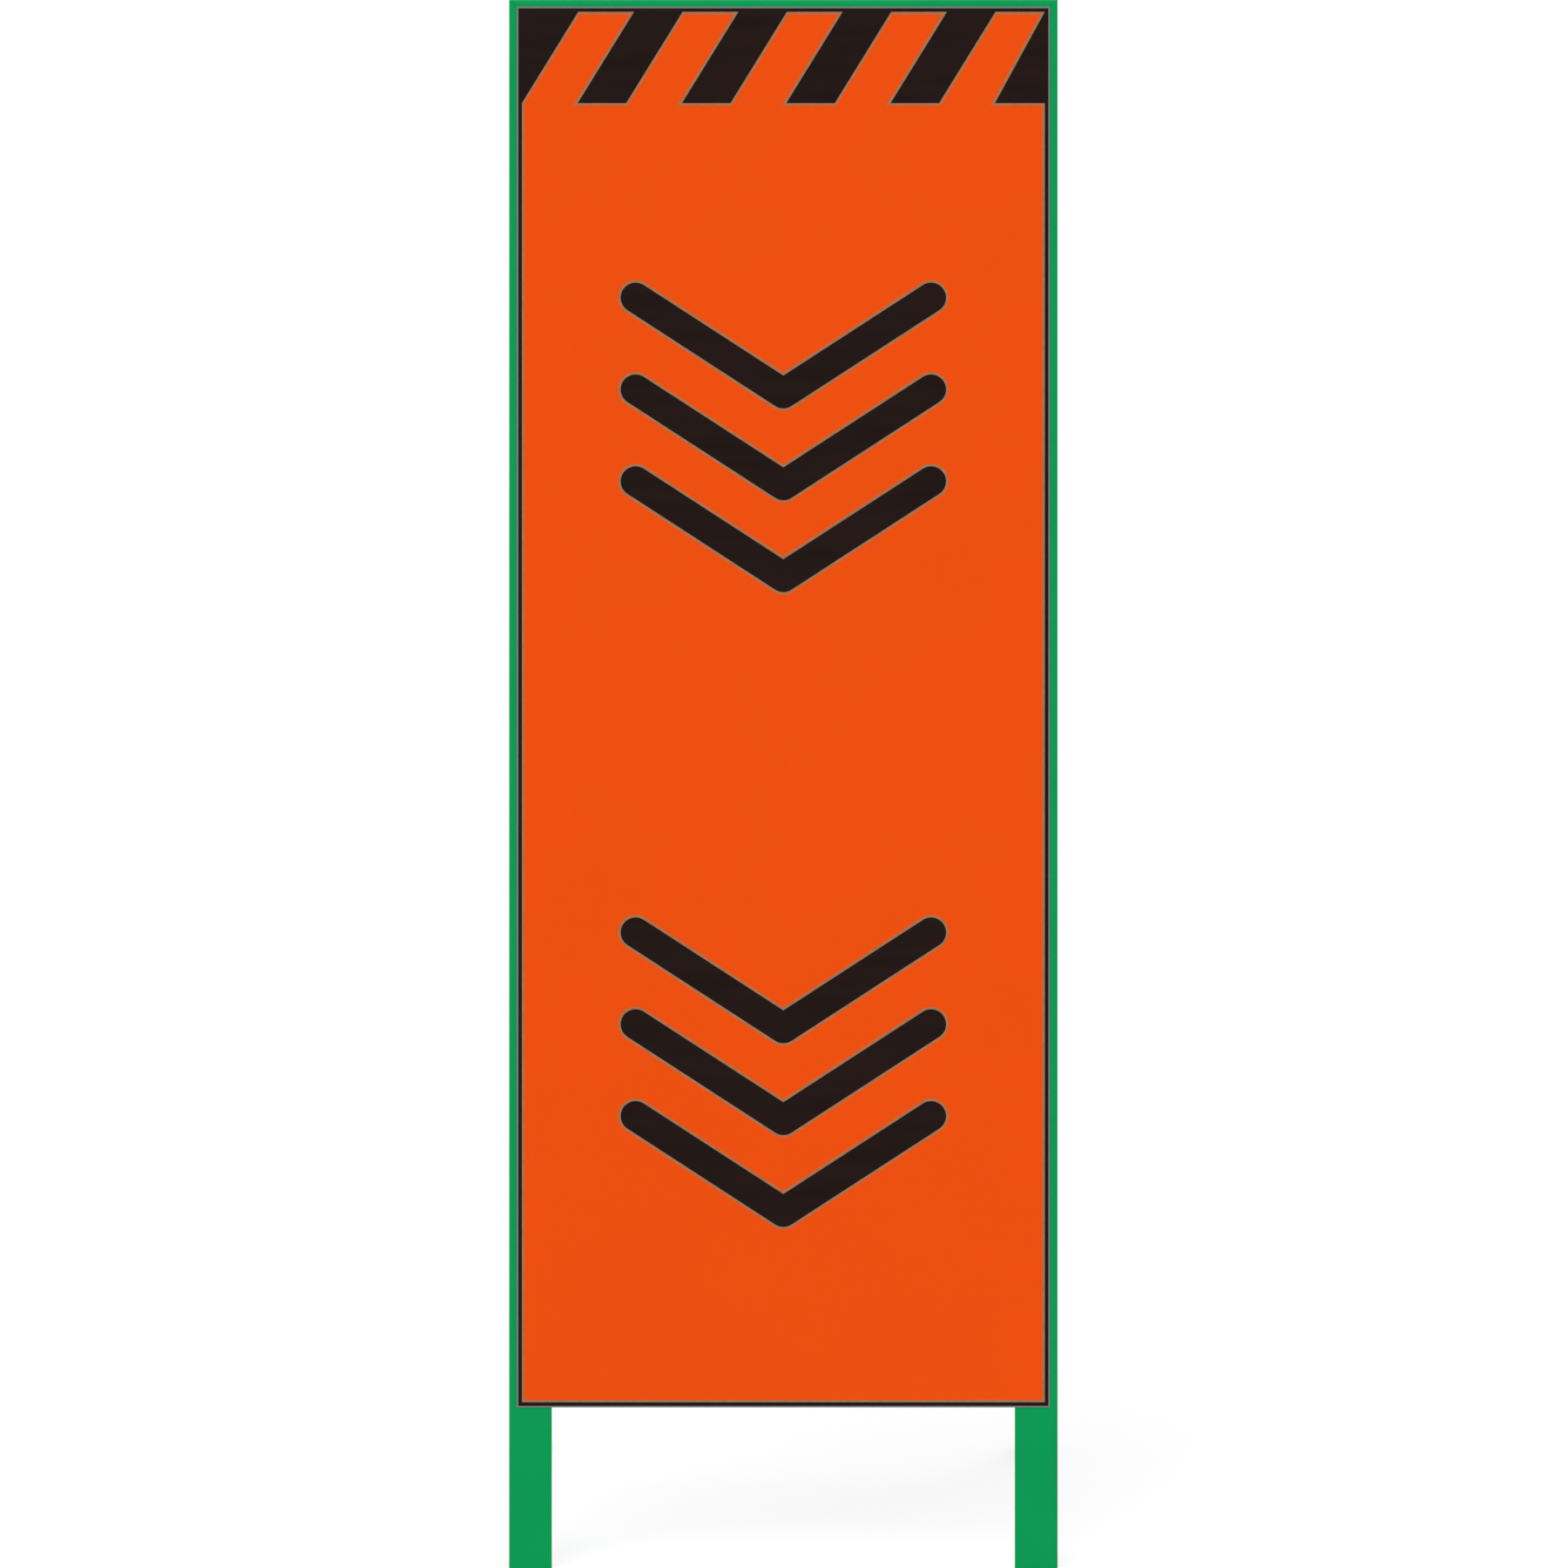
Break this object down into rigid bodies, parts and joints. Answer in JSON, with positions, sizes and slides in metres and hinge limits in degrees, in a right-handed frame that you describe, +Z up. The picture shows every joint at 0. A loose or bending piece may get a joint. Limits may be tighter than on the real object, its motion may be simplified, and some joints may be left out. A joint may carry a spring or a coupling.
{
  "type": "portable roadworks sign board",
  "caption": "Tall orange roadworks sign board with a striped top band, on a green angle-steel frame that leans back on a folding rear prop.",
  "frame": {"origin": "on the ground, at the middle of the footprint between the front feet and the open prop's feet", "axes": "+X to the right as seen from the front, +Y towards the back, +Z up"},
  "size_m": [0.55, 0.4852, 1.5484],
  "materials": {
    "green_paint": "gloss enamel",
    "galvanised_sheet": "galvanised",
    "orange_sheeting": "reflective sheeting",
    "pale_film": "matt",
    "black_film": "satin",
    "zinc_plate": "bright zinc"
  },
  "bodies": {
    "sign": {"left_upright": "green_paint", "right_upright": "green_paint", "top_rail": "green_paint", "upper_cross_rail": "green_paint", "lower_cross_rail": "green_paint", "bottom_rail": "green_paint", "sign_panel": "galvanised_sheet", "orange_sheeting": "orange_sheeting", "keyline_film": "pale_film", "border_and_stripes": "black_film", "upper_chevrons": "black_film", "lower_chevrons": "black_film", "panel_studs": "zinc_plate", "panel_flange_nuts": "zinc_plate", "left_pivot_stud": "zinc_plate", "right_pivot_stud": "zinc_plate", "left_pivot_spacer": "zinc_plate", "right_pivot_spacer": "zinc_plate", "left_pivot_washer": "zinc_plate", "right_pivot_washer": "zinc_plate", "left_lock_nut": "zinc_plate", "right_lock_nut": "zinc_plate"},
    "prop": {"left_prop_arm": "green_paint", "right_prop_arm": "green_paint", "prop_upper_bar": "green_paint", "prop_lower_bar": "green_paint"}
  },
  "joints": [
    {"name": "prop_fold", "type": "hinge", "parent": "sign", "child": "prop", "pos_m": [0, 0.00482, 1.27643], "axis": [-1, 0, 0], "range_deg": [0, 20]}
  ]
}
